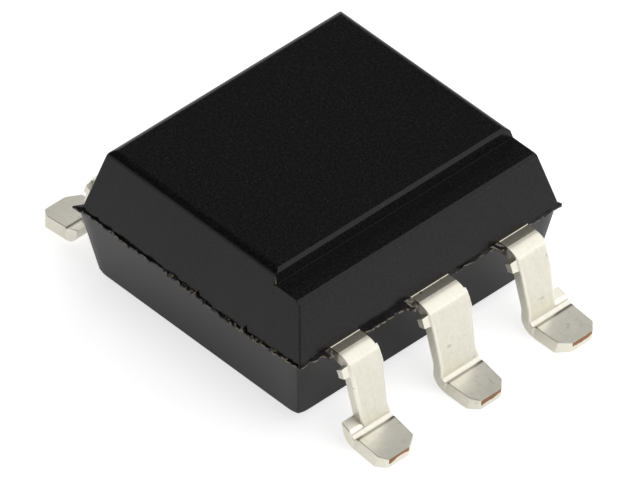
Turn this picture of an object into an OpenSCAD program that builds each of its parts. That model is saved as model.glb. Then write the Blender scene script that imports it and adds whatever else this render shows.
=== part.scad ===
// Six-pin optocoupler in a moulded dual-in-line package with gull-wing leads.
// A black epoxy body holds two stamped lead sets: the emitter set on the +X side
// and the detector set on the -X side. Inside, an infrared emitter die faces a
// phototransistor die across a clear light guide.
// +X points out of the emitter row, +Y runs along it, +Z is up.
// The origin is on the board, under the middle of the package. Millimetres.

/* [Body] */
// Width of the moulding at the parting line, from one lead row to the other
body_width = 6.5; // [6.2:0.05:7]
// Length of the moulding at the parting line, along a lead row
body_length = 7.15; // [6.9:0.05:9]
// Height from the parting line to the top face
upper_height = 1.6; // [1.45:0.05:2]
// Height from the underside to the parting line
lower_height = 1.73; // [1.5:0.05:2]
// Gap between the board and the underside
standoff = 0.27; // [0.1:0.01:0.4]
// Draft of the upper half along the lead rows, degrees from upright
side_draft = 14.5; // [8:0.5:17]
// Draft of the upper half at the two ends, degrees from upright
end_draft = 13; // [8:0.5:17]
// Draft of the lower half, degrees from upright
lower_draft = 8; // [4:0.5:10]
// Radius round the top face
top_radius = 0.2; // [0.1:0.01:0.25]
// Radius of the upright corners and round the underside
corner_radius = 0.12; // [0.05:0.01:0.2]
// Offset of the upper half against the lower one along X
mould_offset_x = 0.05; // [0:0.01:0.06]
// Offset of the upper half against the lower one along Y
mould_offset_y = 0.03; // [0:0.01:0.06]

/* [Pin one step] */
// Width of the ledge along the pin one side
ledge_width = 0.72; // [0.4:0.02:0.9]
// Depth of the ledge below the top face
step_depth = 0.3; // [0.1:0.02:0.4]
// Lean of the riser between ledge and top face, degrees from upright
riser_draft = 10; // [5:1:30]
// Radius along the outer edge of the ledge
step_radius = 0.1; // [0.04:0.01:0.12]
// Radius along the upper edge of the riser
brow_radius = 0.08; // [0.03:0.01:0.12]
// Radius of the fillet between ledge and riser
step_fillet = 0.02; // [0.02:0.01:0.1]

/* [Flash] */
// How far the thin lip stands out along the parting line
lip_out = 0.06; // [0.02:0.01:0.12]
// Thickness of that lip
lip_thickness = 0.07; // [0.03:0.01:0.12]
// How far the flash web between leads one and two stands out
web_out = 0.22; // [0.1:0.02:0.3]

/* [Leads] */
// Spacing of the leads along a row
lead_pitch = 2.54; // [2.4:0.01:2.6]
// Thickness of the lead strip
lead_thickness = 0.25; // [0.2:0.01:0.3]
// Width over the toes of both rows
lead_span = 10.28; // [10:0.02:10.8]
// Flat shoulder between the body and the bend
shoulder_length = 0.37; // [0.25:0.01:0.45]
// Inside radius of the shoulder bend
shoulder_radius = 0.13; // [0.08:0.01:0.2]
// Radius of the crease between leg and foot
crease_radius = 0.14; // [0.05:0.01:0.2]
// Outward lean of the leg, degrees from upright
leg_angle = 12; // [5:0.5:14]
// Downward tilt of the foot towards the toe, degrees
foot_angle = 6; // [0:0.5:8]

/* [Lead outline] */
// Width of a middle lead at its shoulder
middle_width = 1.04; // [0.9:0.02:1.3]
// Reach of an end lead from its pitch line towards the middle lead
end_inner_reach = 0.62; // [0.5:0.02:0.7]
// Reach of an end lead from its pitch line away from the middle lead
end_outer_reach = 0.18; // [0.1:0.02:0.3]
// How much each edge of a leg draws in from shoulder to heel
leg_taper = 0.06; // [0:0.01:0.12]
// Reach of an end lead's foot away from the middle lead
ear_reach = 0.47; // [0.4:0.01:0.55]
// Height above the board where an end lead widens to that reach
ear_height = 0.62; // [0.6:0.02:0.9]
// Width of the toe between its cut corners
toe_width = 0.48; // [0.4:0.02:0.7]
// Length of the cut corners along the foot
toe_cut = 0.22; // [0.15:0.01:0.4]
// How far the stub of the cut tie bar stands out of each lead's -Y edge
stub_out = 0.11; // [0.04:0.01:0.15]
// Depth of a stub's upper end below the parting line
stub_top = 0.08; // [0.04:0.01:0.15]
// Height of a stub
stub_height = 0.42; // [0.3:0.02:0.6]

/* [Lead frame inside] */
// Rise of the emitter pad above the lead plane
emitter_rise = 0.85; // [0.75:0.05:0.95]
// Drop of the detector pad below the lead plane
detector_drop = 0.55; // [0.45:0.05:0.65]
// Slope of the offset bends, degrees from level
offset_slope = 60; // [45:1:70]
// Distance of the offset bends from the middle of the package
offset_start = 1.45; // [1.3:0.05:1.5]
// Width of the emitter pad
emitter_pad = 1.2; // [0.9:0.05:1.4]
// Width of the detector pad
detector_pad = 1.4; // [1.2:0.05:1.5]
// Width of a wire post
post_width = 0.55; // [0.4:0.05:0.65]
// Gap between a wire post and the emitter pad
post_gap = 0.35; // [0.25:0.05:0.5]
// Distance of a wire post's end from the middle of the package
post_end = 0.1; // [0:0.05:0.4]
// Length of lead three inside the body
blind_length = 1.05; // [0.7:0.05:1.2]

/* [Chips and wires] */
// Width of the infrared emitter die
led_width = 0.3; // [0.2:0.02:0.4]
// Height of the infrared emitter die
led_height = 0.25; // [0.15:0.01:0.28]
// Width of the phototransistor die
detector_width = 1.0; // [0.7:0.05:1.1]
// Height of the phototransistor die
detector_height = 0.25; // [0.15:0.01:0.28]
// Thickness of the silver-filled bond under each die
attach_thickness = 0.03; // [0.02:0.005:0.05]
// How far the bond squeezes out round a die
attach_margin = 0.04; // [0.02:0.01:0.08]
// Diameter of the gold wires
wire_diameter = 0.03; // [0.02:0.005:0.05]
// Height of a wire loop above its die
loop_height = 0.14; // [0.1:0.01:0.2]
// Diameter of the ball that bonds a wire
ball_diameter = 0.09; // [0.07:0.01:0.12]
// Height of that ball
ball_height = 0.03; // [0.02:0.005:0.05]
// Distance of the phototransistor's bond points from its middle
bond_offset = 0.32; // [0.2:0.02:0.4]

/* [Light guide] */
// Length of the light guide along a lead row
guide_length = 4.2; // [3.8:0.1:4.6]
// Width of the light guide between the lead rows
guide_width = 3.5; // [3.3:0.1:4]
// Height of the light guide above and below the lead plane
guide_half_height = 1.12; // [1.05:0.01:1.2]
// Draft of the light guide, degrees from upright
guide_draft = 7; // [3:1:10]

/* [Hidden] */

$fn = 64;
hull_fn = 32;
bend_steps = 10;
sliver = 0.01;

// Heights that the pieces share
parting_z = standoff + lower_height;
top_z = parting_z + upper_height;
ledge_z = top_z - step_depth;

// Ledge and riser, from the parting line inwards
ledge_outer = body_width / 2 - (upper_height - step_depth) * tan(side_draft);
ledge_inner = ledge_outer - ledge_width;
riser_top = ledge_inner - step_depth * tan(riser_draft);

// Side profile of a lead: outward normals of leg and foot, bend centres, toe
leg_normal = [cos(leg_angle), sin(leg_angle)];
foot_normal = [sin(foot_angle), cos(foot_angle)];
outer_radius = shoulder_radius + lead_thickness;
under_radius = crease_radius + lead_thickness;
wall_x = body_width / 2;
bend_x = wall_x + shoulder_length;
bend_centre = [bend_x, parting_z - outer_radius];
leg_start = bend_centre + outer_radius * leg_normal;
toe_x = lead_span / 2;
toe_top = [toe_x, lead_thickness * cos(foot_angle)];
crease_centre = meeting_point(
    leg_normal, leg_start * leg_normal + crease_radius,
    foot_normal, toe_top * foot_normal + crease_radius);
leg_end = crease_centre - crease_radius * leg_normal;

// Where the outline of a lead changes
root_x = wall_x - shoulder_length;
heel_x = leg_end.x;
cut_x = toe_x - toe_cut;
stub_z = parting_z - stub_top;
leg_z = stub_z - stub_height;

// Levels of the pads and dies, from the parting line
emitter_pad_z = parting_z + emitter_rise - lead_thickness;
led_face_z = emitter_pad_z - attach_thickness - led_height;
detector_pad_z = parting_z - detector_drop;
detector_face_z = detector_pad_z + attach_thickness + detector_height;

// Wire posts: their near edge and middle, from the middle of the package
post_near = emitter_pad / 2 + post_gap;
post_middle = post_near + post_width / 2;
wire_landing = post_end + post_width / 2;

// Point where two lines meet, each given by its normal and its distance from the origin
function meeting_point(n, a, m, b) =
    let (d = n.x * m.y - n.y * m.x) [(a * m.y - b * n.y) / d, (n.x * b - m.x * a) / d];

// Inset of a rounding's centre from the sharp edge between a drafted face and a level one
function round_inset(radius, draft) = radius * tan(45 - draft / 2);

// Rectangle with round corners
module round_rectangle(size, radius) {
    hull()
        for (x = [-1, 1], y = [-1, 1])
            translate([x * (size.x / 2 - radius), y * (size.y / 2 - radius)])
                circle(radius, $fn = hull_fn);
}

// Half of the moulding: drafted from the parting line, rounded round its far face
module moulded_half(height, draft_x, draft_y, radius) {
    half_x = body_width / 2 - height * tan(draft_x) - round_inset(radius, draft_x);
    half_y = body_length / 2 - height * tan(draft_y) - round_inset(radius, draft_y);
    hull() {
        linear_extrude(sliver)
            round_rectangle([body_width, body_length], corner_radius);
        for (x = [-1, 1], y = [-1, 1])
            translate([x * half_x, y * half_y, height - radius])
                sphere(radius, $fn = hull_fn);
    }
}

// Section of what the step takes off the upper half, with its roundings
module step_section() {
    far = body_width / 2;
    edge_x = ledge_outer - round_inset(step_radius, side_draft);
    brow_x = riser_top - round_inset(brow_radius, riser_draft);
    foot_x = ledge_inner + round_inset(step_fillet, riser_draft);
    difference() {
        union() {
            polygon([
                [brow_x, top_z + sliver], [brow_x, top_z], [riser_top, top_z],
                [ledge_inner, ledge_z], [far, ledge_z], [far, top_z + sliver],
            ]);
            translate([edge_x, ledge_z - step_radius])
                square([far - edge_x, step_radius]);
        }
        // rounded upper edge of the riser
        translate([brow_x, top_z - brow_radius])
            circle(brow_radius);
        // rounded outer edge of the ledge
        translate([edge_x, ledge_z - step_radius])
            circle(step_radius);
        // fillet at the foot of the riser
        difference() {
            polygon([
                [ledge_inner - sliver, ledge_z - sliver], [foot_x, ledge_z - sliver],
                [foot_x, ledge_z + step_fillet],
                [ledge_inner - step_fillet * tan(riser_draft) - sliver, ledge_z + step_fillet],
            ]);
            translate([foot_x, ledge_z + step_fillet])
                circle(step_fillet);
        }
    }
}

// Thin lip squeezed out along the parting line, and the web left between two leads
module flash() {
    translate([0, 0, parting_z - lip_thickness])
        linear_extrude(lip_thickness)
            round_rectangle([body_width + 2 * lip_out, body_length + 2 * lip_out], corner_radius);
    translate([root_x, -lead_pitch, parting_z - lead_thickness])
        cube([shoulder_length + web_out, lead_pitch, lead_thickness]);
}

// Outer moulding of black epoxy, cast round the leads and the light guide
module body() {
    color("#2b2b2c")
        difference() {
            union() {
                translate([mould_offset_x, mould_offset_y, parting_z])
                    moulded_half(upper_height, side_draft, end_draft, top_radius);
                translate([0, 0, parting_z])
                    mirror([0, 0, 1])
                        moulded_half(lower_height, lower_draft, lower_draft, corner_radius);
                flash();
            }
            translate([mould_offset_x, 0, 0])
                rotate([90, 0, 0])
                    linear_extrude(2 * body_length, center = true)
                        step_section();
            guide_block();
            for (n = [1:6])
                lead(n);
        }
}

// Clear resin block between the dies, before the pieces in it are cut out
module guide_block() {
    translate([0, 0, parting_z])
        intersection() {
            rotate([90, 0, 0])
                linear_extrude(guide_length, center = true)
                    guide_section(guide_width);
            rotate([90, 0, 90])
                linear_extrude(guide_width, center = true)
                    guide_section(guide_length);
        }
}

// Section of the light guide: widest at the lead plane, drafted up and down
module guide_section(width) {
    middle = width / 2;
    face = middle - guide_half_height * tan(guide_draft);
    polygon([
        [middle, 0], [face, guide_half_height], [-face, guide_half_height],
        [-middle, 0], [-face, -guide_half_height], [face, -guide_half_height],
    ]);
}

// Clear resin that carries the light from die to die and keeps the two sides apart
module light_guide() {
    color("#e8e4d4")
        difference() {
            guide_block();
            for (n = [1, 2, 4, 5, 6])
                lead(n);
            led_die();
            led_die_attach();
            phototransistor_die();
            phototransistor_die_attach();
            anode_wire();
            emitter_wire();
            base_wire();
        }
}

// Points along an arc
function arc(centre, radius, from, to) = [
    for (i = [0:bend_steps])
        let (a = from + (to - from) * i / bend_steps) centre + radius * [cos(a), sin(a)]
];

// Side profile of the sheet outside the body: shoulder, bend, leg, crease, foot and back again
function wing_profile() = [
    each arc(bend_centre, outer_radius, 90, leg_angle),
    each arc(crease_centre, crease_radius, 180 + leg_angle, 270 - foot_angle),
    toe_top, toe_top - lead_thickness * foot_normal,
    each arc(crease_centre, under_radius, 270 - foot_angle, 180 + leg_angle),
    each arc(bend_centre, shoulder_radius, leg_angle, 90),
];

// Side profile inside the body: a mitred offset from the lead plane to a pad or post
function arm_profile(rise, end_x) =
    let (
        run = abs(rise) / tan(offset_slope),
        mitre = lead_thickness * tan(offset_slope / 2) * sign(rise),
        upper = offset_start + min(mitre, 0),
        lower = upper - mitre,
        low = parting_z - lead_thickness)
    [
        [lower, low], [lower - run, low + rise], [end_x, low + rise],
        [end_x, parting_z + rise], [upper - run, parting_z + rise], [upper, parting_z],
    ];

// Side profile of a lead that stops short inside the body wall
function blind_profile() =
    let (end_x = wall_x - blind_length)
    [[end_x, parting_z - lead_thickness], [end_x, parting_z]];

// Reach of the foot on an edge whose shoulder has the given reach
function foot_reach(reach) = reach < ear_reach ? ear_reach : reach - leg_taper;

// Outline of a wing from above: shoulder, room for the leg, foot with cut corners
module wing_plan(outer, inner) {
    room = lead_pitch / 2;
    toe = toe_width / 2;
    polygon([
        [root_x, -outer], [bend_x, -outer], [bend_x, -room], [heel_x, -room],
        [heel_x, -foot_reach(outer)], [cut_x, -foot_reach(outer)], [toe_x, -toe],
        [toe_x, toe], [cut_x, foot_reach(inner)], [heel_x, foot_reach(inner)],
        [heel_x, room], [bend_x, room], [bend_x, inner], [root_x, inner],
    ]);
}

// One edge of a wing from the front, downwards: shoulder, stub, leg, foot
function wing_edge(reach, stub) =
    let (ear = reach < ear_reach, low_z = ear ? ear_height : leg_end.y)
    [
        [reach, parting_z + sliver], [reach, stub_z], [reach + stub, stub_z],
        [reach + stub, leg_z], [reach, leg_z], [reach - leg_taper, low_z],
        [foot_reach(reach), low_z], [foot_reach(reach), -sliver],
    ];

// Outline of a wing from the front; the stub is on its outer or its inner edge
module wing_front(outer, inner, stub_outside) {
    left = [for (p = wing_edge(outer, stub_outside ? stub_out : 0)) [-p.x, p.y]];
    right = wing_edge(inner, stub_outside ? 0 : stub_out);
    polygon([each left, for (i = [len(right) - 1:-1:0]) right[i]]);
}

// Sheet bent to its side profile and cut to its outline; +Y is the side towards the middle lead
module formed_sheet(arm, arm_outline, outer, inner, stub_outside) {
    intersection() {
        rotate([90, 0, 0])
            linear_extrude(4 * lead_pitch, center = true)
                polygon([each wing_profile(), each arm]);
        union() {
            linear_extrude(top_z)
                polygon(arm_outline);
            intersection() {
                linear_extrude(top_z)
                    wing_plan(outer, inner);
                rotate([90, 0, 90])
                    linear_extrude(lead_span)
                        wing_front(outer, inner, stub_outside);
            }
        }
    }
}

// Middle lead of a row, with its pad
module pad_lead(rise, pad, stub_outside) {
    edge = middle_width / 2;
    half = pad / 2;
    outline = [
        [wall_x, -edge], [offset_start, -edge], [offset_start, -half], [-half, -half],
        [-half, half], [offset_start, half], [offset_start, edge], [wall_x, edge],
    ];
    formed_sheet(arm_profile(rise, -half), outline, edge, edge, stub_outside);
}

// End lead of a row: its arm slants towards the pad and ends in a wire post
module post_lead(rise, stub_outside) {
    near = lead_pitch - post_near;
    far = near - post_width;
    neck = offset_start + post_width;
    outline = [
        [wall_x, -end_outer_reach], [root_x, -end_outer_reach], [neck, far], [post_end, far],
        [post_end, near], [neck, near], [root_x, end_inner_reach], [wall_x, end_inner_reach],
    ];
    formed_sheet(arm_profile(rise, post_end), outline, end_outer_reach, end_inner_reach, stub_outside);
}

// End lead that carries nothing
module blind_lead() {
    outline = [
        [0, -end_outer_reach], [wall_x, -end_outer_reach],
        [wall_x, end_inner_reach], [0, end_inner_reach],
    ];
    formed_sheet(blind_profile(), outline, end_outer_reach, end_inner_reach, false);
}

// Leads one to three stand on the +X side, four to six on the -X side
module lead(n) {
    color("#d5d3cb") {
        if (n == 1)
            translate([0, -lead_pitch])
                post_lead(emitter_rise, true);
        if (n == 2)
            pad_lead(emitter_rise, emitter_pad, true);
        if (n == 3)
            translate([0, lead_pitch])
                mirror([0, 1, 0])
                    blind_lead();
        if (n == 4)
            rotate(180)
                translate([0, -lead_pitch])
                    post_lead(-detector_drop, false);
        if (n == 5)
            rotate(180)
                pad_lead(-detector_drop, detector_pad, false);
        if (n == 6)
            rotate(180)
                translate([0, lead_pitch])
                    mirror([0, 1, 0])
                        post_lead(-detector_drop, true);
    }
}

// Square plate centred over the middle of the package
module plate(width, height, z) {
    translate([-width / 2, -width / 2, z])
        cube([width, width, height]);
}

// Infrared emitter die, hanging face down from its pad
module led_die() {
    color("#6b5a4a")
        plate(led_width, led_height, led_face_z);
}

// Silver-filled bond between the emitter die and its pad
module led_die_attach() {
    color("#b9b9b4")
        plate(led_width + 2 * attach_margin, attach_thickness, led_face_z + led_height);
}

// Phototransistor die, face up on its pad
module phototransistor_die() {
    color("#50586a")
        plate(detector_width, detector_height, detector_face_z - detector_height);
}

// Silver-filled bond between the phototransistor die and its pad
module phototransistor_die_attach() {
    color("#b9b9b4")
        plate(detector_width + 2 * attach_margin, attach_thickness, detector_pad_z);
}

// Point on a wire loop that leaves and lands upright
function loop_point(from, to, crown, u) =
    let (a = [from.x, from.y, crown], b = [to.x, to.y, crown], v = 1 - u)
    v * v * v * from + 3 * v * v * u * a + 3 * v * u * u * b + u * u * u * to;

// Gold wire from a ball on a die to a stitch on a post; crown is the level it is pulled to
module bond_wire(from, to, crown) {
    sides = 8;
    steps = 16;
    across = let (d = to - from) [-d.y, d.x, 0] / norm([d.x, d.y]);
    path = [for (i = [0:steps]) loop_point(from, to, crown, i / steps)];
    upright = [0, 0, sign(crown - from.z)];
    ring = [
        for (i = [0:steps])
            let (
                along = i == 0 ? upright : i == steps ? -upright : path[i + 1] - path[i - 1],
                up = cross(across, along / norm(along)))
            for (k = [0:sides - 1])
                path[i] + wire_diameter / 2 * (cos(360 * k / sides) * across + sin(360 * k / sides) * up)
    ];
    tube = [
        for (i = [0:steps - 1], k = [0:sides - 1])
            let (a = i * sides + k, b = i * sides + (k + 1) % sides)
            [a, b, b + sides, a + sides]
    ];
    ends = [
        [for (k = [sides - 1:-1:0]) k],
        [for (k = [0:sides - 1]) steps * sides + k],
    ];
    polyhedron(ring, [each tube, each ends]);
    for (p = [from, to])
        translate(p)
            mirror([0, 0, crown < from.z ? 1 : 0])
                cylinder(h = ball_height, d = ball_diameter);
}

// Wire from the emitter die down and across to the post of lead one
module anode_wire() {
    color("#d9b24a")
        bond_wire(
            [0, 0, led_face_z],
            [wire_landing, -post_middle, emitter_pad_z],
            led_face_z - loop_height);
}

// Wire from the phototransistor's emitter to the post of lead four
module emitter_wire() {
    color("#d9b24a")
        bond_wire(
            [-bond_offset, bond_offset, detector_face_z],
            [-wire_landing, post_middle, detector_pad_z],
            detector_face_z + loop_height);
}

// Wire from the phototransistor's base to the post of lead six
module base_wire() {
    color("#d9b24a")
        bond_wire(
            [-bond_offset, -bond_offset, detector_face_z],
            [-wire_landing, -post_middle, detector_pad_z],
            detector_face_z + loop_height);
}

body();
light_guide();
lead(1);  // lead_1
lead(2);  // lead_2
lead(3);  // lead_3
lead(4);  // lead_4
lead(5);  // lead_5
lead(6);  // lead_6
led_die();
phototransistor_die();
led_die_attach();
phototransistor_die_attach();
anode_wire();
emitter_wire();
base_wire();
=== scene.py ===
"""Looks of a six-pin surface-mount optocoupler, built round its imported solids."""
from math import cos, pi, radians, sin, tan

import bmesh
import bpy
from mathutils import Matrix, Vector


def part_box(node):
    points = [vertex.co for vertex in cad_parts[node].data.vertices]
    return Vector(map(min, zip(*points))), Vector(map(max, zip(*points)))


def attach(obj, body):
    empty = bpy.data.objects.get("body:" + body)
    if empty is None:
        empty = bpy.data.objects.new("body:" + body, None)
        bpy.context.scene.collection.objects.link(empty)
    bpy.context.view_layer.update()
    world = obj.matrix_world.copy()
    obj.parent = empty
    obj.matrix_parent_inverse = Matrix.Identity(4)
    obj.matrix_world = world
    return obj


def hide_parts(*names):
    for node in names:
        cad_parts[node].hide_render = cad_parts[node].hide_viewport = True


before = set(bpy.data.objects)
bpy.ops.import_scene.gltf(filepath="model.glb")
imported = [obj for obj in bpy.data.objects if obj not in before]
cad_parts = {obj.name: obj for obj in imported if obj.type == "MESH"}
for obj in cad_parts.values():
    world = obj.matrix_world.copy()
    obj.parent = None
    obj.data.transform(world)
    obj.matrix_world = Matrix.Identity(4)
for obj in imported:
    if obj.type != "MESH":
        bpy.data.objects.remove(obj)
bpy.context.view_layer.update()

# Lead frame: six strips of copper alloy, stamped from one sheet, bent after moulding
# and tin plated. Each runs from a pad or wire post inside the body out through the
# wall, over a shoulder and down a leg to a foot whose toe is cut free at the end.
MM = 0.001
ear_reach = 0.47
lead_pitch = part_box("lead_3")[1].y / MM - ear_reach
parting_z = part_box("lead_3")[1].z / MM
toe_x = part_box("lead_2")[1].x / MM
wall_x = 3.25
mould_offset = Vector((0.05, 0.03))
sheet_thickness = 0.25
middle_reach = 0.52
inner_reach = 0.62
outer_reach = 0.19
waist = 0.045
ear_z = 0.62
ear_round = 0.05
ear_lean = 0.15
stub_reach = 0.15
stub_trace = 0.04
stub_taper = 0.85
foot_slant = 0.07
toe_reach = 0.28
toe_cut = 0.2
corner_round = 0.03

# How near a point counts as on a line when it is picked, finely and coarsely
skim = 0.004
margin = 0.02

# Kinds of face on the strip, each with a slot for its own finish
face_kinds = range(4)
top_side, cut_side, under_side, rolled_side = face_kinds

# The profile: a rim of plating piled up against the wall, the shoulder, the small step
# where the clamp ended, a slope, the bend, a slow straightening, and the tight crease
shoulder_length = 0.27
rim_height = 0.013
rim_length = 0.02
clamp_step = 0.025
clamp_tilt = radians(12)
slope_tilt = radians(3)
bend_tilt = radians(24)
trace_tilt = radians(34)
knee_tilt = radians(60)
stub_tilt = radians(62.5)
stub_end_tilt = radians(73)
leg_angle = radians(12)
leg_tilt = pi / 2 - leg_angle
dip_tilt = radians(-2)
ridge_tilt = radians(11)
foot_angle = radians(6)
slope_radius = 0.51
knee_radius = 0.26
leg_radius = 1.5
crease_radius = 0.1
dip_length = 0.045

# Rounding that the stamping punch left on the upper edges
leg_roll = 0.09
slight_roll = 0.014


def pick(piece, kind, test):
    """Select the vertices, edges or faces of a piece in edit mode whose middle passes a test."""
    bpy.ops.mesh.select_mode(type=kind)
    bpy.ops.mesh.select_all(action="DESELECT")
    mesh = bmesh.from_edit_mesh(piece.data)
    for item in {"VERT": mesh.verts, "EDGE": mesh.edges, "FACE": mesh.faces}[kind]:
        corners = [item] if kind == "VERT" else item.verts
        middle = sum((v.co for v in corners), Vector()) / len(corners)
        if test(middle, item):
            item.select_set(True)
    mesh.select_flush_mode()
    bmesh.update_edit_mesh(piece.data)


def picked_box(piece):
    """Lowest and highest corner of what is selected in edit mode."""
    points = [v.co.copy() for v in bmesh.from_edit_mesh(piece.data).verts if v.select]
    return [Vector(tuple(f(p[i] for p in points) for i in range(3))) for f in (min, max)]


def pull(piece, place, low, high):
    """Pull the selected edge of a sheet to a new place (x, z), with its ends at low and high along Y."""
    start, end = picked_box(piece)
    centre = Vector((place.x, (low + high) / 2, place.y))
    bpy.ops.mesh.extrude_region_move(TRANSFORM_OT_translate={"value": centre - (start + end) / 2})
    bpy.ops.transform.resize(value=(1, (high - low) / (end.y - start.y), 1), center_override=centre)


def slope(tilt):
    """Direction (x, z) down a sheet whose normal is tilted from +Z towards +X."""
    return Vector((cos(tilt), -sin(tilt)))


def bend(place, start, end, radius, steps=1):
    """Turn the selected edge from one tilt to another; gives the place (x, z) where it ends.

    A radius below zero bends the sheet up instead of down."""
    centre = place - radius * Vector((sin(start), cos(start)))
    bpy.ops.mesh.spin(steps=steps, angle=start - end, center=(centre.x, 0, centre.y), axis=(0, 1, 0))
    return centre + radius * Vector((sin(end), cos(end)))


def widen(piece, side, inside, reach):
    """Pull the long edges on one side of a sheet out to a given reach."""
    def along_side(middle, edge):
        a, b = edge.verts
        runs = abs(a.co.y - b.co.y) < edge.calc_length() / 2
        return edge.is_boundary and runs and middle.y * side > 0 and inside(middle)

    pick(piece, "EDGE", along_side)
    bpy.ops.mesh.extrude_region()
    bpy.ops.transform.resize(value=(1, 0, 1), center_override=(0, side * reach, 0))


def start_piece(name, size, place):
    """A new flat piece of the given size in millimetres, left in edit mode, all selected."""
    bpy.ops.object.select_all(action="DESELECT")
    bpy.ops.mesh.primitive_plane_add(size=1)
    piece = bpy.context.object
    piece.name = piece.data.name = name
    bpy.ops.object.mode_set(mode="EDIT")
    bpy.ops.transform.resize(value=(size[0], size[1], 1), center_override=(0, 0, 0))
    bpy.ops.transform.translate(value=place)
    return piece


def apply_modifiers(piece):
    """Make the piece's modifiers part of its mesh."""
    for modifier in list(piece.modifiers):
        bpy.ops.object.modifier_apply(modifier=modifier.name)


def clean(distance):
    """Select all of a mesh, merge doubled points and drop faces that have no area."""
    bpy.ops.mesh.select_mode(type="VERT")
    bpy.ops.mesh.select_all(action="SELECT")
    bpy.ops.mesh.remove_doubles(threshold=distance)
    bpy.ops.mesh.dissolve_degenerate(threshold=distance)
    bpy.ops.mesh.select_all(action="SELECT")


def smooth(piece, angle):
    """Shade smooth except over sharp edges, with the flat faces kept flat."""
    bpy.ops.object.shade_smooth_by_angle(angle=angle)
    weights = piece.modifiers.new("flat faces", "WEIGHTED_NORMAL")
    weights.keep_sharp = True
    apply_modifiers(piece)


def settle(piece, slot, *nodes):
    """Bring a piece from millimetres to the frame's metres and tie it to the part."""
    piece.scale = (MM, MM, MM)
    bpy.ops.object.transform_apply(location=True, rotation=True, scale=True)
    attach(piece, "root")
    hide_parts(*nodes)


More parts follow.
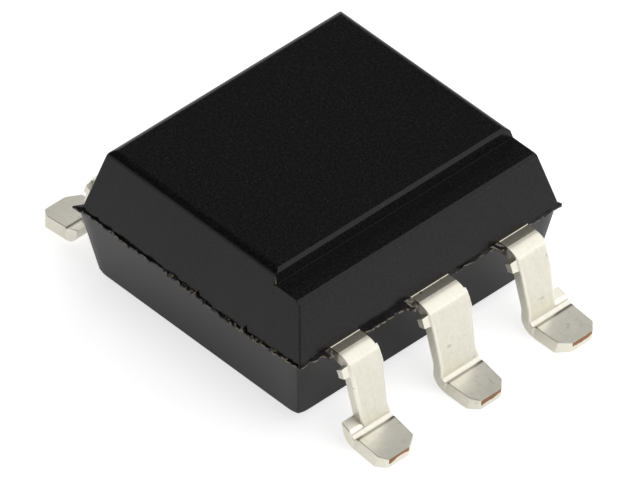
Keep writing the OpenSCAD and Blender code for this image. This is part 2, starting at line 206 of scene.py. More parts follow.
def form_lead(number, outer, inner, arm, place, mirrored, turned):
    """Bend one lead in its own place beside the X axis, then bring it to its place in the row.

    Gives the piece and the place (x, z) where the crease ends."""
    root_x, bend_x = wall_x - shoulder_length, wall_x + shoulder_length
    rim_x = wall_x + mould_offset.x * (-1 if turned else 1)
    stub_side = 1 if mirrored != turned else -1
    piece = start_piece(f"gull_wing_lead_{number}", (margin, outer + inner),
                        (root_x + margin / 2, (inner - outer) / 2, parting_z))
    # rim of plating, shoulder, slope and bend, with an edge where the tie bar's stub starts and ends
    pick(piece, "EDGE", lambda m, e: m.x > root_x + margin - skim)
    pull(piece, Vector((rim_x, parting_z + rim_height)), -outer, inner)
    pull(piece, Vector((rim_x + rim_length, parting_z)), -outer, inner)
    pull(piece, Vector((bend_x, parting_z)), -outer, inner)
    spot = Vector((bend_x, parting_z)) + clamp_step * slope(clamp_tilt)
    pull(piece, spot, -outer, inner)
    bend_top = bend(spot, slope_tilt, bend_tilt, slope_radius, steps=5)
    trace_top = bend(bend_top, bend_tilt, trace_tilt, knee_radius, steps=2)
    spot = bend(trace_top, trace_tilt, knee_tilt, knee_radius, steps=6)
    stub_top = bend(spot, knee_tilt, stub_tilt, leg_radius)
    stub_foot = bend(stub_top, stub_tilt, stub_end_tilt, leg_radius, steps=3)
    leg_top = bend(stub_foot, stub_end_tilt, leg_tilt, leg_radius)
    # leg with a slight waist, down to where the crease starts
    leg_line = leg_top.dot(slope(-leg_angle)) + crease_radius
    toe = Vector((toe_x, sheet_thickness * cos(foot_angle)))
    above_foot = Vector((sin(foot_angle), cos(foot_angle)))
    foot_line = toe.dot(above_foot) + crease_radius
    crease = Vector((leg_line * cos(foot_angle) - foot_line * sin(leg_angle),
                     foot_line * cos(leg_angle) - leg_line * sin(foot_angle)))
    crease /= cos(leg_angle + foot_angle)
    leg_foot = crease - crease_radius * slope(-leg_angle)
    waist_place = leg_top + (leg_top.y - ear_z) / cos(leg_angle) * slope(leg_tilt)
    pull(piece, waist_place, waist - outer, inner - waist)
    pull(piece, leg_foot, -outer, inner)
    # crease, pressed a little too far by the tool, and the low ridge that this left
    dip = bend(leg_foot, leg_tilt, dip_tilt, -crease_radius, steps=12)
    ridge = dip + dip_length * slope(dip_tilt)
    pull(piece, ridge, -outer, inner)
    height = (ridge - crease).dot(above_foot) + crease_radius
    pull(piece, ridge + height / sin(ridge_tilt - foot_angle) * slope(ridge_tilt), -outer, inner)
    cut = toe - toe_cut / cos(foot_angle) * slope(foot_angle)
    pull(piece, cut, waist - outer, inner - waist)
    # ear that widens an end lead to a full foot
    if outer < ear_reach:
        widen(piece, -1, lambda m: m.z < ear_z and m.x > wall_x, ear_reach)
    pick(piece, "EDGE", lambda m, e: m.x > cut.x - margin and e.is_boundary
         and abs(e.verts[0].co.x - e.verts[1].co.x) < margin)
    pull(piece, toe, -toe_reach, toe_reach)

    # trace of the tie bar that joined the leads, on the side away from its stub
    def beside_stub(middle, top=stub_top):
        return stub_foot.y + skim < middle.z < top.y - skim and middle.x > bend_x

    reaches = {-1: outer, 1: inner}
    if reaches[-stub_side] > outer_reach:
        widen(piece, -stub_side, lambda m: beside_stub(m, trace_top), reaches[-stub_side] + stub_trace)
    # arm inside the body
    pick(piece, "EDGE", lambda m, e: m.x < root_x + skim)
    for x, z, low, high in arm:
        pull(piece, Vector((x, z)), low, high)

    # corners of the stamping, the ear's rounder than the others
    def on_ear(middle):
        return middle.y < skim - ear_reach and abs(middle.z - ear_z) < margin

    pick(piece, "VERT", lambda m, v: len(v.link_edges) == 2 and not on_ear(m)
         and not stub_foot.y - margin < m.z < trace_top.y + margin)
    bpy.ops.mesh.bevel(offset=corner_round, segments=2, affect="VERTICES")
    if outer < ear_reach:
        pick(piece, "VERT", lambda m, v: on_ear(m))
        bpy.ops.mesh.bevel(offset=ear_round, segments=5, affect="VERTICES")
    bpy.ops.mesh.select_all(action="SELECT")
    bpy.ops.mesh.normals_make_consistent(inside=False)
    mesh = bmesh.from_edit_mesh(piece.data)
    shoulder = [f for f in mesh.faces if wall_x < f.calc_center_median().x < bend_x]
    if shoulder[0].normal.z < 0:
        bpy.ops.mesh.flip_normals()
    bpy.ops.object.mode_set(mode="OBJECT")
    # thickness of the sheet, with each face numbered by its kind
    for kind in face_kinds:
        bpy.ops.object.material_slot_add()
    sheet = piece.modifiers.new("sheet", "SOLIDIFY")
    sheet.thickness = sheet_thickness
    sheet.offset = -1
    sheet.use_even_offset = True
    sheet.material_offset_rim = cut_side
    sheet.material_offset = under_side
    apply_modifiers(piece)

    # the shear dragged the top of the ear down at the front
    bpy.ops.object.mode_set(mode="EDIT")
    if outer < ear_reach:
        pick(piece, "VERT", lambda m, v: m.y < waist - outer + skim
             and leg_foot.y + skim < m.z < ear_z + skim
             and any(f.material_index == top_side for f in v.link_faces))
        bpy.ops.transform.resize(value=(ear_lean, 1, ear_lean),
                                 center_override=(leg_foot.x, 0, leg_foot.y))

    # the side of the foot was sheared at a slant
    pick(piece, "VERT", lambda m, v: m.y * stub_side > toe_reach and dip.x - skim < m.x < cut.x + skim
         and {f.material_index for f in v.link_faces} == {top_side, cut_side})
    bpy.ops.transform.translate(value=(0, -stub_side * foot_slant, 0))

    # upper edges rolled over by the stamping punch, most along the leg; the toe was cut later.
    # An edge's bevel weight is the width of its roll in millimetres.
    def roll_at(middle):
        on_leg = leg_foot.y < middle.z < stub_top.y - skim
        on_trace = middle.z > stub_foot.y and not -outer - skim < middle.y < inner + skim
        return leg_roll if on_leg and not on_trace else slight_roll

    def rolled(middle, edge):
        upper = sorted(f.material_index for f in edge.link_faces) == [top_side, cut_side]
        return upper and wall_x - leg_roll < middle.x < toe_x - margin

    for roll in (leg_roll, slight_roll):
        pick(piece, "EDGE", lambda m, e: rolled(m, e) and roll_at(m) == roll)
        bpy.ops.transform.edge_bevelweight(value=roll)
    bpy.ops.object.mode_set(mode="OBJECT")
    rolling = piece.modifiers.new("rolled edges", "BEVEL")
    rolling.limit_method = "WEIGHT"
    rolling.width = 1
    rolling.segments = 4
    rolling.material = rolled_side
    rolling.use_clamp_overlap = False
    apply_modifiers(piece)
    # stub of the tie bar, left standing behind the rolled edge
    bpy.ops.object.mode_set(mode="EDIT")
    pick(piece, "FACE", lambda m, f: f.material_index == cut_side and beside_stub(m)
         and m.y * stub_side > reaches[stub_side] - skim)
    low, high = picked_box(piece)
    bpy.ops.mesh.extrude_region_move(TRANSFORM_OT_translate={"value": (0, stub_side * stub_reach, 0)})
    bpy.ops.transform.resize(value=(stub_taper, 1, stub_taper), center_override=(low + high) / 2)
    bpy.ops.object.mode_set(mode="OBJECT")
    # place in the row
    piece.location = (0, place * (-1 if turned else 1), 0)
    piece.scale = (1, -1 if mirrored else 1, 1)
    bpy.ops.object.transform_apply(location=True, rotation=True, scale=True)
    if turned:
        piece.rotation_euler.z = pi
        bpy.ops.object.transform_apply(location=True, rotation=True, scale=True)
    bpy.ops.object.mode_set(mode="EDIT")
    clean(skim / 2)
    bpy.ops.mesh.normals_make_consistent(inside=False)
    bpy.ops.object.mode_set(mode="OBJECT")
    smooth(piece, angle=radians(30))
    settle(piece, "leads", f"lead_{number}")
    return piece, ridge


# Arms inside the body: the middle leads carry the dies, three end leads carry the wires, and
# lead three ends in the wall
offset_slope = radians(60)
offset_start = 1.45
post_width = 0.55
post_gap = 0.35
post_end = 0.1
slant_end = 2.0
emitter_pad = 1.2
detector_pad = 1.4
blind_length = 1.05
emitter_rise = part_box("lead_2")[1].z / MM - parting_z
detector_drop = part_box("phototransistor_die_attach")[0].z / MM - parting_z


def pad_arm(rise, pad):
    """Stations of a middle lead's arm: level, up or down the offset, then the pad."""
    half = pad / 2
    start = offset_start - (sheet_thickness * tan(offset_slope / 2) if rise < 0 else 0)
    end = start - abs(rise) / tan(offset_slope)
    level = parting_z + rise
    return [(start, parting_z, -middle_reach, middle_reach),
            (end, level, -half, half), (-half, level, -half, half)]


def post_arm(rise):
    """Stations of an end lead's arm: a slant towards the pad, the offset, then the wire post."""
    high = lead_pitch - emitter_pad / 2 - post_gap
    low = high - post_width
    start, end = [station[0] for station in pad_arm(rise, emitter_pad)][:2]
    level = parting_z + rise
    return [(slant_end, parting_z, low, high), (start, parting_z, low, high),
            (end, level, low, high), (post_end, level, low, high)]


blind_arm = [(wall_x - blind_length, parting_z, -outer_reach, inner_reach)]
end_reach = (outer_reach, inner_reach)
both_reach = (middle_reach, middle_reach)
formed = [
    form_lead(1, *end_reach, post_arm(emitter_rise), -lead_pitch, mirrored=False, turned=False),
    form_lead(2, *both_reach, pad_arm(emitter_rise, emitter_pad), 0, mirrored=False, turned=False),
    form_lead(3, *end_reach, blind_arm, lead_pitch, mirrored=True, turned=False),
    form_lead(4, *end_reach, post_arm(detector_drop), lead_pitch, mirrored=False, turned=True),
    form_lead(5, *both_reach, pad_arm(detector_drop, detector_pad), 0, mirrored=False, turned=True),
    form_lead(6, *end_reach, post_arm(detector_drop), -lead_pitch, mirrored=True, turned=True),
]
leads = [piece for piece, crease in formed]
crease_end = formed[0][1]

# Matt tin over copper alloy: a warm white metal, finely mottled, with faint streaks along
# the strip from rolling and small grey scuffs. The crease holds a dark line of painted shade,
# and the feet of the middle leads are scratched.


def linear(colour):
    """Linear RGBA of an sRGB hex colour."""
    parts = [int(colour[i:i + 2], 16) / 255 for i in (0, 2, 4)]
    return [p / 12.92 if p <= 0.04045 else ((p + 0.055) / 1.055) ** 2.4 for p in parts] + [1]


def add_node(tree, kind, *values, **settings):
    """Add a node and give its output. Values fill its inputs in order; settings are its properties
    or name an input. A value that is another node's output becomes a link."""
    node = tree.nodes.new(kind)
    for name in [n for n in settings if hasattr(node, n)]:
        setattr(node, name, settings.pop(name))
    filled = list(zip(node.inputs, values))
    for name, value in settings.items():
        filled.append(([s for s in node.inputs if s.name == name and s.enabled][0], value))
    for socket, value in filled:
        if isinstance(value, bpy.types.NodeSocket):
            tree.links.new(value, socket)
        else:
            socket.default_value = value
    return [s for s in node.outputs if s.enabled][0]


def new_material(name):
    """A new material: itself, its node tree, its shader's inputs and the place on the piece."""
    material = bpy.data.materials.new(name)
    material.use_nodes = True
    tree = material.node_tree
    place = add_node(tree, "ShaderNodeTexCoord").node.outputs["Object"]
    return material, tree, tree.nodes["Principled BSDF"].inputs, place


mottle_size = 0.12
mottle_depth = 0.004
scuff_size = 0.3
streaks_per_mm = (1.5, 12, 1.5)
tin, tree, shader, place = new_material("matt tin plate")
axes = add_node(tree, "ShaderNodeSeparateXYZ", place).node.outputs
outward = add_node(tree, "ShaderNodeMath", axes["X"], operation="ABSOLUTE")
sideways = add_node(tree, "ShaderNodeMath", axes["Y"], operation="ABSOLUTE")
mottle = add_node(tree, "ShaderNodeTexNoise", Vector=place, Scale=1 / (mottle_size * MM),
                  Detail=5.0, Roughness=0.65)
strip = add_node(tree, "ShaderNodeMapping", place, Scale=[s / MM for s in streaks_per_mm])
streaks = add_node(tree, "ShaderNodeTexNoise", Vector=strip, Scale=1.0, Detail=3.0)
tone = add_node(tree, "ShaderNodeMix", Factor=0.35, A=mottle, B=streaks)
plated = add_node(tree, "ShaderNodeMix", data_type="RGBA", Factor=tone,
                  A=linear("cfcbbc"), B=linear("f6f3e7"))
cloud = add_node(tree, "ShaderNodeTexNoise", Vector=place, Scale=1 / (scuff_size * MM),
                 Detail=4.0, Roughness=0.6)
scuffs = add_node(tree, "ShaderNodeMapRange", cloud, 0.65, 0.71, 0.0, 0.35)
scuffed = add_node(tree, "ShaderNodeMix", data_type="RGBA", Factor=scuffs, A=plated, B=linear("8f8b80"))
# scratches across the feet of the middle leads
scratches_per_mm = (2, 26, 2)
scratch_turn = radians(35)
scratched_from = 4.5
scratched_half = 0.45
scratch_fade = 0.1
tilted = add_node(tree, "ShaderNodeMapping", place, Rotation=(0, 0, scratch_turn),
                  Scale=[s / MM for s in scratches_per_mm])
lines = add_node(tree, "ShaderNodeTexNoise", Vector=tilted, Scale=1.0, Detail=2.0)
thin_lines = add_node(tree, "ShaderNodeMapRange", lines, 0.66, 0.72, 0.0, 0.6)
on_foot = add_node(tree, "ShaderNodeMapRange", outward,
                   scratched_from * MM, (scratched_from + scratch_fade) * MM, 0.0, 1.0)
in_middle = add_node(tree, "ShaderNodeMapRange", sideways,
                     scratched_half * MM, (scratched_half - scratch_fade) * MM, 0.0, 1.0)
foot_middle = add_node(tree, "ShaderNodeMath", on_foot, in_middle, operation="MULTIPLY")
scratches = add_node(tree, "ShaderNodeMath", thin_lines, foot_middle, operation="MULTIPLY")
# painted shade in the crease: a dark line on the upper side alone
crease_shade_reach = 0.045
crease_shade_core = 0.02
crease_shade_drop = 0.04
crease_middle = crease_end.x - dip_length / 2
from_crease = add_node(tree, "ShaderNodeMath", outward, crease_middle * MM, operation="SUBTRACT")
off_crease = add_node(tree, "ShaderNodeMath", from_crease, operation="ABSOLUTE")
along_crease = add_node(tree, "ShaderNodeMapRange", off_crease,
                        crease_shade_reach * MM, crease_shade_core * MM, 0.0, 1.0)
in_crease = add_node(tree, "ShaderNodeMapRange", axes["Z"], (crease_end.y - crease_shade_drop) * MM,
                     (crease_end.y - crease_shade_drop / 2) * MM, 0.0, 0.6)
painted_crease_shade = add_node(tree, "ShaderNodeMath", along_crease, in_crease, operation="MULTIPLY")
# one dark colour serves the real scratches and the painted crease shade
scratches_and_crease_shade = add_node(tree, "ShaderNodeMath", painted_crease_shade, scratches, operation="MAXIMUM")
scratched_and_crease_shaded = add_node(tree, "ShaderNodeMix", data_type="RGBA", Factor=scratches_and_crease_shade, A=scuffed, B=linear("6b665c"))
# film of resin that bled out on to the shoulder, with a ragged edge past the clamp's mark
clamp_end = wall_x + shoulder_length
bleed_ragged = 0.2
bleed_full = clamp_end + 0.08
bleed_end = clamp_end + 0.25
bleed_edge = add_node(tree, "ShaderNodeMath", cloud, bleed_ragged * MM, outward, operation="MULTIPLY_ADD")
bled = add_node(tree, "ShaderNodeMapRange", bleed_edge, bleed_full * MM, bleed_end * MM, 0.33, 0.0)
filmed = add_node(tree, "ShaderNodeMix", data_type="RGBA", Factor=bled, A=scratched_and_crease_shaded, B=linear("968868"))
tree.links.new(filmed, shader["Base Color"])
# the clamp pressed the shoulder smoother than the rest
matt = add_node(tree, "ShaderNodeMapRange", tone, 0.3, 0.7, 0.26, 0.38)
unpressed = add_node(tree, "ShaderNodeMapRange", outward,
                     clamp_end * MM, (clamp_end + clamp_step) * MM, 0.5, 1.0)
pressed_matt = add_node(tree, "ShaderNodeMath", matt, unpressed, operation="MULTIPLY")
tree.links.new(pressed_matt, shader["Roughness"])
mottle_bump = add_node(tree, "ShaderNodeBump", Height=tone, Strength=0.3, Distance=mottle_depth * MM)
tree.links.new(mottle_bump, shader["Normal"])
shader["Metallic"].default_value = 1.0
# copies of the tin: the sheared edges are rougher and painted paler, painted light on the cut sides, and
# the rolled edges are painted bright, a painted highlight
sheared = tin.copy()
sheared.name = "tin over a sheared edge, painted paler"
highlight_painted_tin = tin.copy()
highlight_painted_tin.name = "tin with a painted highlight"
# paler colour ends: painted light on the cut sides, a painted highlight on the rolled edges
for edge_tin, deep, pale, fine, coarse in ((sheared, "e4e0d2", "fffcf0", 0.5, 0.65),
                                           (highlight_painted_tin, "eae6d8", "fbf8ec", 0.28, 0.4)):
    mix = edge_tin.node_tree.nodes[plated.node.name].inputs
    tone_ends = [s for s in mix if s.name in "AB" and s.enabled]
    for end, colour in zip(tone_ends, (deep, pale)):
        end.default_value = linear(colour)
    gloss = edge_tin.node_tree.nodes[matt.node.name].inputs
    gloss["To Min"].default_value = fine
    gloss["To Max"].default_value = coarse
for lead in leads:
    for slot, plate in zip(lead.material_slots, (tin, sheared, tin, highlight_painted_tin)):
        slot.material = plate

# Bare copper alloy on the toes, which were cut free after plating: the upper half of each
# cut face is browned metal, and below a ragged line the cutter smeared the tin over it.


def add_finish(piece, material, test):
    """Give the faces of a piece whose middle and normal pass a test one more material."""
    bpy.ops.object.select_all(action="DESELECT")
    bpy.context.view_layer.objects.active = piece
    piece.select_set(True)
    piece.data.materials.append(material)
    bpy.ops.object.mode_set(mode="EDIT")
    pick(piece, "FACE", lambda middle, face: test(middle / MM, face.normal))
    piece.active_material_index = len(piece.data.materials) - 1
    bpy.ops.object.material_slot_assign()
    bpy.ops.object.mode_set(mode="OBJECT")


drag_per_mm = (3, 3.5, 2)
drag_depth = 0.01
smear_low = 0.09
smear_high = 0.19
smear_edge = 0.01
cut_lean = radians(25)
copper, tree, shader, place = new_material("browned copper alloy")
height = add_node(tree, "ShaderNodeSeparateXYZ", place).node.outputs["Z"]
drag = add_node(tree, "ShaderNodeMapping", place, Scale=[s / MM for s in drag_per_mm])
drag_lines = add_node(tree, "ShaderNodeTexNoise", Vector=drag, Scale=1.0, Detail=4.0)
smear = add_node(tree, "ShaderNodeMapRange", drag_lines, 0.3, 0.7, smear_low * MM, smear_high * MM)
above_smear = add_node(tree, "ShaderNodeMath", height, smear, operation="SUBTRACT")
bare = add_node(tree, "ShaderNodeMapRange", above_smear, -smear_edge * MM, smear_edge * MM, 0.0, 1.0)
browned = add_node(tree, "ShaderNodeMix", data_type="RGBA", Factor=drag_lines,
                   A=linear("6a4a30"), B=linear("ad7a50"))
cut_face = add_node(tree, "ShaderNodeMix", data_type="RGBA", Factor=bare, A=linear("e6e2d6"), B=browned)
tree.links.new(cut_face, shader["Base Color"])
tree.links.new(add_node(tree, "ShaderNodeMapRange", drag_lines, 0.3, 0.7, 0.3, 0.5), shader["Roughness"])
drag_bump = add_node(tree, "ShaderNodeBump", Height=drag_lines, Strength=0.3, Distance=drag_depth * MM)
tree.links.new(drag_bump, shader["Normal"])
shader["Metallic"].default_value = 1.0
for lead in leads:
    add_finish(lead, copper, lambda m, n: abs(m.x) > toe_x - margin and abs(n.x) > cos(cut_lean))

# Die bonds: two thin pads of silver-filled resin, dispensed wet and cured, that hold each
# die on its lead. They are pale grey and grainy with silver flakes.


def finish(piece, material):
    """Give a piece its one material."""
    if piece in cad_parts.values():
        piece.material_slots[0].material = material
    else:
        piece.data.materials.clear()
        piece.data.materials.append(material)


flake_size = 0.02
bond, tree, shader, place = new_material("silver-filled resin")
flakes = add_node(tree, "ShaderNodeTexVoronoi", Vector=place, Scale=1 / (flake_size * MM))
flake_tone = add_node(tree, "ShaderNodeMix", data_type="RGBA", Factor=flakes,
                      A=linear("d4d3cc"), B=linear("85847e"))
tree.links.new(flake_tone, shader["Base Color"])
tree.links.new(add_node(tree, "ShaderNodeMapRange", flakes, 0.0, 0.8, 0.3, 0.6), shader["Roughness"])
shader["Metallic"].default_value = 0.7
for name in ("led_die_attach", "phototransistor_die_attach"):
    finish(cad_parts[name], bond)

# Dies: the infrared emitter is a sawn block of gallium arsenide, dark and slightly brown;
# the phototransistor is a larger slice of polished silicon, blue-grey with saw marks.
saw_marks_per_mm = (8, 8, 90)
crystals = {"led_die": ("gallium arsenide", "3a2f27", "5a4c3f"),
            "phototransistor_die": ("silicon", "1d2734", "4a5666")}
for name, (crystal, deep, pale) in crystals.items():
    sawn, tree, shader, place = new_material(crystal)
    saw = add_node(tree, "ShaderNodeMapping", place, Scale=[s / MM for s in saw_marks_per_mm])
    marks = add_node(tree, "ShaderNodeTexNoise", Vector=saw, Scale=1.0, Detail=3.0)
    crystal_tone = add_node(tree, "ShaderNodeMix", data_type="RGBA", Factor=marks,
                            A=linear(deep), B=linear(pale))
    tree.links.new(crystal_tone, shader["Base Color"])
    tree.links.new(add_node(tree, "ShaderNodeMapRange", marks, 0.3, 0.7, 0.12, 0.4), shader["Roughness"])
    shader["Metallic"].default_value = 0.5
    finish(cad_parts[name], sawn)

# Wires: three drawn gold wires, pressed on with a ball at the die and a wedge at the post,
# finely mottled by the drawing and the pressing.
draw_size = 0.02
gold, tree, shader, place = new_material("drawn gold")
drawn = add_node(tree, "ShaderNodeTexNoise", Vector=place, Scale=1 / (draw_size * MM), Detail=3.0)
gold_tone = add_node(tree, "ShaderNodeMix", data_type="RGBA", Factor=drawn,
                     A=linear("d3a24c"), B=linear("f0cd7e"))
tree.links.new(gold_tone, shader["Base Color"])
tree.links.new(add_node(tree, "ShaderNodeMapRange", drawn, 0.3, 0.7, 0.15, 0.32), shader["Roughness"])
shader["Metallic"].default_value = 1.0
for name in ("anode_wire", "emitter_wire", "base_wire"):
    finish(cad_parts[name], gold)

# Light guide: the inner moulding of clear, slightly yellow resin round both dies, which
# carries the infrared light across and keeps the two lead sets apart. Faintly cloudy.
haze_size = 0.8
clear, tree, shader, place = new_material("clear casting resin")
haze = add_node(tree, "ShaderNodeTexNoise", Vector=place, Scale=1 / (haze_size * MM), Detail=4.0)
clear_tone = add_node(tree, "ShaderNodeMix", data_type="RGBA", Factor=haze,
                      A=linear("e6dcc0"), B=linear("f6f1e2"))
tree.links.new(clear_tone, shader["Base Color"])
tree.links.new(add_node(tree, "ShaderNodeMapRange", haze, 0.3, 0.7, 0.12, 0.3), shader["Roughness"])
shader["Transmission Weight"].default_value = 0.8
finish(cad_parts["light_guide"], clear)

# Body: one moulding of black filled epoxy, cast in two drafted halves round the lead
# frame. The upper mould half sat a little off the lower one, and a thin ragged lip of
# flash was squeezed out between them. A step along one side marks pin one.
half_x = wall_x
half_y = 3.575
upper_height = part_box("body")[1].z / MM - parting_z
lower_height = parting_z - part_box("body")[0].z / MM
upper_draft = (radians(14.5), radians(13))
lower_draft = (radians(8), radians(8))
top_radius = 0.2
corner_radius = 0.04
chip = 0.035
foot_radius = 0.12
corner_reach = 0.28
corner_sink = 0.04
step_depth = 0.3
ledge_width = 0.72
riser_draft = radians(10)
step_fillet = 0.006
step_round = 0.09
ledge_round = 0.14
cut_skim = 0.0003

# Flash: how far it stands out, how finely and how far its edge wanders, and where it is bowed
lip_out = 0.07
lip_top = parting_z - 0.012
lip_foot = parting_z - 0.055
lip_end = parting_z - 0.07
lip_grain = 0.06
lip_wander = 0.07
lip_tear = 0.05
lip_lift = 0.5
web_out = 0.22
tongue_out = 0.14
tongue_width = 0.2
wedge_out = 0.17
wedge_width = 0.06
wedge_taper = 0.3
bow_middle = 1.3
bow_reach = 1.9
bow_narrowing = 1.4
bow_drop = 0.1
bow_steps = 8


def ring(piece, x, y, z, middle=Vector((0, 0))):
    """Pull the selected loop to another level, with its half sizes x and y about a middle."""
    low, high = picked_box(piece)
    centre = Vector((middle.x, middle.y, z))
    bpy.ops.mesh.extrude_region_move(TRANSFORM_OT_translate={"value": centre - (low + high) / 2})
    stretch = (2 * x / (high.x - low.x), 2 * y / (high.y - low.y), 1)
    bpy.ops.transform.resize(value=stretch, center_override=centre)


def mould_half(piece, height, draft, radius, up, middle):
    """Draw one half of the moulding out of the selected loop and close its far face."""
    inset = [height * tan(a) + radius * tan(pi / 4 - a / 2) for a in draft]
    steps = 7
    for i in range(steps + 1):
        angle = draft[0] + (pi / 2 - draft[0]) * i / steps
        level = height - radius + radius * sin(angle)
        ring(piece, half_x - inset[0] + radius * cos(angle), half_y - inset[1] + radius * cos(angle),
             parting_z + up * level, middle)
    bpy.ops.mesh.edge_face_add()


body = start_piece("moulded_body", (2 * half_x, 2 * half_y), (0, 0, parting_z))
bpy.ops.mesh.bevel(offset=corner_radius, segments=4, affect="VERTICES")
bpy.ops.mesh.delete(type="ONLY_FACE")
for run, long_side in ((0, 2 * half_x), (1, 2 * half_y)):
    pick(body, "EDGE", lambda m, e: abs(e.verts[0].co[run] - e.verts[1].co[run]) > half_x)
    bpy.ops.mesh.subdivide(number_cuts=int(long_side / lip_grain))
bpy.ops.mesh.select_all(action="SELECT")
ring(body, half_x + lip_out, half_y + lip_out, lip_top, mould_offset)
ring(body, half_x + lip_out, half_y + lip_out, lip_foot, mould_offset)
ring(body, half_x, half_y, lip_end)
mould_half(body, lower_height, lower_draft, foot_radius, -1, Vector((0, 0)))
bottom_x, bottom_y = [half - lower_height * tan(a) - corner_radius
                      for half, a in zip((half_x, half_y), lower_draft)]
for side_x, side_y in ((1, 1), (1, -1), (-1, 1), (-1, -1)):
    pick(body, "VERT", lambda m, v: m.z < parting_z - lower_height + foot_radius
         and m.x * side_x > bottom_x and m.y * side_y > bottom_y)
    bpy.ops.transform.translate(value=(-side_x * corner_sink, -side_y * corner_sink, 0),
                                use_proportional_edit=True, proportional_edit_falloff="SHARP",
                                proportional_size=corner_reach)
pick(body, "VERT", lambda m, v: m.z > parting_z - skim)
bpy.ops.mesh.select_mode(type="EDGE")
bpy.ops.transform.translate(value=(mould_offset.x, mould_offset.y, 0))
mould_half(body, upper_height, upper_draft, top_radius, 1, mould_offset)
bpy.ops.mesh.select_all(action="SELECT")
bpy.ops.mesh.normals_make_consistent(inside=False)

# ragged edge of the flash, wider in a web between leads one and two, in tongues beside the
# leads and in a wedge at one corner
web_start, web_end = inner_reach - lead_pitch, -middle_reach
lead_sides = (-lead_pitch - outer_reach, -middle_reach, lead_pitch - inner_reach)
web_shift = wall_x + web_out - half_x - mould_offset.x - lip_out
for level in (lip_top, lip_foot):
    pick(body, "VERT", lambda m, v: abs(m.z - level) < skim)
    bpy.ops.transform.vertex_random(offset=lip_wander, seed=3)
    bpy.ops.transform.resize(value=(1, 1, 0), center_override=(0, 0, level))
    bpy.ops.mesh.vertices_smooth(factor=0.5, repeat=2)
    bpy.ops.transform.resize(value=(1, 1, 0), center_override=(0, 0, level))
    pick(body, "VERT", lambda m, v: abs(m.z - level) < skim and m.x > half_x
         and web_start < m.y < web_end)
    bpy.ops.transform.translate(value=(web_shift, 0, 0))
    for lead_side in lead_sides:
        pick(body, "VERT", lambda m, v: abs(m.z - level) < skim and m.x > half_x
             and lead_side - tongue_width < m.y < lead_side)
        bpy.ops.transform.translate(value=(tongue_out, 0, 0))
    pick(body, "VERT", lambda m, v: abs(m.z - level) < skim
         and m.x < wedge_width - half_x and m.y < wedge_width - half_y)
    bpy.ops.transform.resize(value=(wedge_taper, wedge_taper, 1),
                             center_override=(-half_x - wedge_out, -half_y - wedge_out / 2, level))
    pick(body, "VERT", lambda m, v: abs(m.z - level) < skim and m.x + m.y > -half_x - half_y)
    bpy.ops.transform.vertex_random(offset=lip_tear, seed=8)
    bpy.ops.transform.resize(value=(1, 1, lip_lift), center_override=(0, 0, level))
# the parting line sags a little along the near end
for i in range(bow_steps):
    half_bow = bow_reach - bow_narrowing * i / bow_steps
    pick(body, "VERT", lambda m, v: lip_end - bow_drop - skim < m.z < parting_z + skim
         and m.y < corner_radius - half_y and abs(m.x - bow_middle) < half_bow)
    bpy.ops.transform.translate(value=(0, 0, -bow_drop / bow_steps))
bpy.ops.object.mode_set(mode="OBJECT")
# step along the pin one side, cut with a strip whose lower face is the step's own profile
top_z = parting_z + upper_height
ledge_z = top_z - step_depth
side_tilt = pi / 2 - upper_draft[0]
ledge_outer = half_x + mould_offset.x - (upper_height - step_depth) * tan(upper_draft[0])
ledge_inner = ledge_outer - ledge_width
riser_tilt = pi / 2 - riser_draft
brow_x = ledge_inner - step_depth * tan(riser_draft) - step_round * tan(riser_tilt / 2)
riser_foot = Vector((ledge_inner, ledge_z)) - step_fillet * tan(riser_tilt / 2) * slope(riser_tilt)
clear_of = 2 * step_depth
wide = 3 * half_y
cutter = start_piece("step_cutter", (clear_of, wide), (brow_x + clear_of / 2, 0, top_z + clear_of))
pick(cutter, "EDGE", lambda m, e: m.x < brow_x + margin)
pull(cutter, Vector((brow_x, top_z + cut_skim)), -wide / 2, wide / 2)
bend(Vector((brow_x, top_z + cut_skim)), 0, riser_tilt, step_round, steps=6)
pull(cutter, riser_foot, -wide / 2, wide / 2)
bend(riser_foot, riser_tilt, 0, -step_fillet, steps=6)
ledge_end = Vector((ledge_outer + cut_skim - ledge_round * tan(side_tilt / 2), ledge_z))
pull(cutter, ledge_end, -wide / 2, wide / 2)
outer_end = bend(ledge_end, 0, side_tilt, ledge_round, steps=6)
pull(cutter, outer_end + Vector((clear_of, 0)), -wide / 2, wide / 2)
pull(cutter, Vector((outer_end.x + clear_of, top_z + clear_of)), -wide / 2, wide / 2)
pick(cutter, "EDGE", lambda m, e: m.z > top_z + clear_of - margin and e.is_boundary
     and abs(m.y) < half_y)
bpy.ops.mesh.edge_face_add()
bpy.ops.mesh.select_all(action="SELECT")
bpy.ops.mesh.fill_holes(sides=0)
bpy.ops.mesh.normals_make_consistent(inside=False)
bpy.ops.object.mode_set(mode="OBJECT")
bpy.ops.object.select_all(action="DESELECT")
bpy.context.view_layer.objects.active = body
body.select_set(True)
step = body.modifiers.new("step", "BOOLEAN")
step.operation = "DIFFERENCE"
step.solver = "EXACT"
step.object = cutter
apply_modifiers(body)
bpy.data.objects.remove(cutter)
# the near ends of the riser and of the ledge's outer edge are chipped
bpy.ops.object.mode_set(mode="EDIT")
clean(cut_skim)
pick(body, "EDGE", lambda m, e: m.y < -lead_pitch and m.z > ledge_z - 2 * ledge_round
     and min(f.normal.y for f in e.link_faces) < -cos(upper_draft[1]) + skim
     and any(f.normal.x > sin(upper_draft[0]) for f in e.link_faces))
bpy.ops.mesh.bevel(offset=chip, segments=1, affect="EDGES")
bpy.ops.object.mode_set(mode="OBJECT")
smooth(body, angle=radians(32))
settle(body, "body", "body")

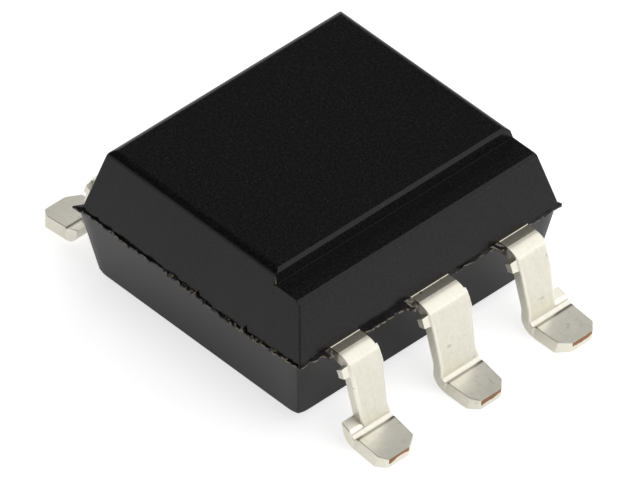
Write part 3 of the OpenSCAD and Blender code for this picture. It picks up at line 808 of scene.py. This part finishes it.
# Black epoxy filled with ground silica: near black, with the fine grain of a spark-eroded
# mould and small pale flecks of filler. It mirrors the table faintly at a low angle.
grain_size = 0.05
grain_depth = 0.004
fleck_spacing = 0.09
epoxy, tree, shader, place = new_material("black filled epoxy")
grain = add_node(tree, "ShaderNodeTexNoise", Vector=place, Scale=1 / (grain_size * MM),
                 Detail=3.0, Roughness=0.6)
flecks = add_node(tree, "ShaderNodeTexVoronoi", Vector=place, Scale=1 / (fleck_spacing * MM))
in_fleck = add_node(tree, "ShaderNodeMapRange", flecks, 0.28, 0.16, 0.0, 1.0)
grain_tone = add_node(tree, "ShaderNodeMapRange", grain, 0.35, 0.65, 0.0, 1.0)
mottled = add_node(tree, "ShaderNodeMix", data_type="RGBA", Factor=grain_tone,
                   A=linear("020203"), B=linear("171719"))
flecked = add_node(tree, "ShaderNodeMix", data_type="RGBA", Factor=in_fleck,
                   A=mottled, B=linear("201f1e"))
tree.links.new(flecked, shader["Base Color"])
tree.links.new(add_node(tree, "ShaderNodeMapRange", grain, 0.3, 0.7, 0.18, 0.26), shader["Roughness"])
grain_bump = add_node(tree, "ShaderNodeBump", Height=grain, Strength=0.3, Distance=grain_depth * MM)
tree.links.new(grain_bump, shader["Normal"])
shader["Specular IOR Level"].default_value = 0.27
finish(body, epoxy)

# Thin flash and chips: resin with little filler, torn when the mould opened or knocked off
# later. Its pale brown-grey specks are partly the thin resin's own colour and partly a painted
# highlight where torn edges catch the light, with more of them by the leads.
tear_size = 0.12
lead_side_from = 2.0
lead_side_full = 2.2
flash, tree, shader, place = new_material("thin torn resin")
tear = add_node(tree, "ShaderNodeTexNoise", Vector=place, Scale=1 / (tear_size * MM),
                Detail=4.0, Roughness=0.7)
along = add_node(tree, "ShaderNodeSeparateXYZ", place).node.outputs["X"]
highlight_near_leads = add_node(tree, "ShaderNodeMapRange", along,
                      lead_side_from * MM, lead_side_full * MM, 0.0, 0.05)
tear_and_highlight = add_node(tree, "ShaderNodeMath", tear, highlight_near_leads, operation="ADD")
# pale specks: partly the thin resin's own colour, partly a painted highlight on torn edges
torn = add_node(tree, "ShaderNodeMapRange", tear_and_highlight, 0.48, 0.62, 0.0, 1.0)
resin_and_painted_highlight = add_node(tree, "ShaderNodeMix", data_type="RGBA", Factor=torn,
                     A=linear("161514"), B=linear("988f80"))
tree.links.new(resin_and_painted_highlight, shader["Base Color"])
tree.links.new(add_node(tree, "ShaderNodeMapRange", tear, 0.3, 0.7, 0.35, 0.6), shader["Roughness"])
shader["Specular IOR Level"].default_value = 0.3

# How far a face stands out to be flash, how level it may lie, and how a chip's face is turned
flash_clear = 0.02
flash_level = 0.7
chip_front = (-0.9, -0.3)
chip_side = 0.15


def is_lip(middle, normal):
    """Whether a face of the body is on the flash: its torn edge, with the level faces at the near end."""
    outside = (abs(middle.x - mould_offset.x) > half_x + flash_clear
               or abs(middle.y - mould_offset.y) > half_y + flash_clear)
    shows = abs(normal.z) < flash_level or middle.y < -half_y
    return outside and shows and lip_end - bow_drop < middle.z < lip_top


def is_tongue(middle):
    """Whether a face of the body is on a tongue of flash beside a lead."""
    beside = any(side - tongue_width < middle.y < side for side in lead_sides)
    return beside and lip_end < middle.z < parting_z and middle.x > half_x


def is_chip(middle, normal):
    """Whether a face of the body is on a chip at the near end of the step."""
    near_step = middle.y < -lead_pitch and middle.z > ledge_z - 2 * ledge_round and middle.x > brow_x
    return near_step and chip_front[0] < normal.y < chip_front[1] and normal.x > chip_side


add_finish(body, flash, lambda m, n: is_lip(m, n) or is_tongue(m) or is_chip(m, n))

# Studio: a white table under one large soft lamp, with a card at the back and a pale horizon
# all round. The table is shown white to the camera and in reflections; in reflections it carries
# a painted shadow under the part and painted shade towards the front. It keeps the part's own shadow.
table_size = 2
table_glow = 0.73
mirror_glow = 0.62
painted_shadow_glow = 0.3
shade_size = (5.2 * MM, 4.2 * MM)
shade_start = 0.7
shade_end = 1.2
front_start = -4.5 * MM
front_end = -11 * MM
painted_front_shade_level = 0.6
bpy.ops.object.select_all(action="DESELECT")
bpy.ops.mesh.primitive_plane_add(size=table_size)
floor = bpy.context.object
floor.name = "floor"
table, tree, shader, place = new_material("white table")
shader["Base Color"].default_value = linear("e0e0e0")
shader["Roughness"].default_value = 0.9
shader["Specular IOR Level"].default_value = 0.0
path = add_node(tree, "ShaderNodeLightPath").node.outputs
mirrored = add_node(tree, "ShaderNodeMath", path["Is Glossy Ray"], path["Is Transmission Ray"],
                    operation="MAXIMUM")
# painted shadow under the part, for reflected rays only
oval = add_node(tree, "ShaderNodeMapping", place, Scale=(1 / shade_size[0], 1 / shade_size[1], 0))
away = add_node(tree, "ShaderNodeVectorMath", oval, operation="LENGTH").node.outputs["Value"]
painted_shadow = add_node(tree, "ShaderNodeMapRange", away, shade_start, shade_end, painted_shadow_glow, mirror_glow,
                  interpolation_type="SMOOTHSTEP")
# painted shade towards the front, for reflected rays only
front = add_node(tree, "ShaderNodeSeparateXYZ", place).node.outputs["Y"]
painted_front_shade = add_node(tree, "ShaderNodeMapRange", front, front_end, front_start, painted_front_shade_level, 1.0)
painted_shadow_and_shade = add_node(tree, "ShaderNodeMath", painted_shadow, painted_front_shade, operation="MULTIPLY")
to_part = add_node(tree, "ShaderNodeMath", mirrored, painted_shadow_and_shade, operation="MULTIPLY")
to_camera = add_node(tree, "ShaderNodeMath", path["Is Camera Ray"], table_glow, operation="MULTIPLY")
glow = add_node(tree, "ShaderNodeMath", to_part, to_camera, operation="MAXIMUM")
shader["Emission Color"].default_value = (1, 1, 1, 1)
tree.links.new(glow, shader["Emission Strength"])
finish(floor, table)

lamp_distance = 0.5


def add_lamp(name, direction, size, radiance):
    """A soft round or oval lamp that faces the part and looks this bright from it."""
    bpy.ops.object.light_add(type="AREA", location=lamp_distance * direction.normalized())
    lamp = bpy.context.object
    lamp.name = name
    lamp.rotation_euler = direction.to_track_quat("Z", "Y").to_euler()
    lamp.data.shape = "ELLIPSE"
    lamp.data.size, lamp.data.size_y = size
    area = pi / 4 * size[0] * size[1]
    lamp.data.energy = radiance * pi * area


add_lamp("softbox", direction=Vector((0.42, 0.5, 0.77)), size=(1.0, 1.0), radiance=1.18)
add_lamp("back card", direction=Vector((-0.8, 0.45, 0.33)), size=(0.45, 0.26), radiance=0.9)

horizon_level = 0.9
horizon_top = 0.05
sky_level = 0.1
sky_foot = 0.37
world = bpy.data.worlds.new("studio")
bpy.context.scene.world = world
world.use_nodes = True
tree = world.node_tree
direction = add_node(tree, "ShaderNodeTexCoord").node.outputs["Generated"]
rise = add_node(tree, "ShaderNodeSeparateXYZ", direction).node.outputs["Z"]
level = add_node(tree, "ShaderNodeMapRange", rise, horizon_top, sky_foot, horizon_level, sky_level)
tree.links.new(level, tree.nodes["Background"].inputs["Strength"])
tree.nodes["Background"].inputs["Color"].default_value = (1, 1, 1, 1)
bpy.context.scene.view_settings.view_transform = "Standard"

# Camera: a long lens at the photograph's angle, from the view that was fitted to the corners
# of the body and the leads.
view_azimuth = 0.8214
view_elevation = 0.7313
view_distance = 0.3
view_right = 0.0479
view_down = 0.7005
pixels_per_mm = 49.44
image_width = 640
sensor_width = 36
level_back = Vector((sin(view_azimuth), -cos(view_azimuth), 0))
back = cos(view_elevation) * level_back + Vector((0, 0, sin(view_elevation)))
right = Vector((cos(view_azimuth), sin(view_azimuth), 0))
up = back.cross(right)
bpy.ops.object.camera_add()
camera = bpy.context.object
camera.data.sensor_width = sensor_width
camera.data.lens = pixels_per_mm / MM * view_distance / image_width * sensor_width
camera.rotation_euler = (pi / 2 - view_elevation, 0, view_azimuth)
aim = Vector((0, 0, parting_z)) + view_right * right - view_down * up
camera.location = MM * aim + view_distance * back
bpy.context.scene.camera = camera
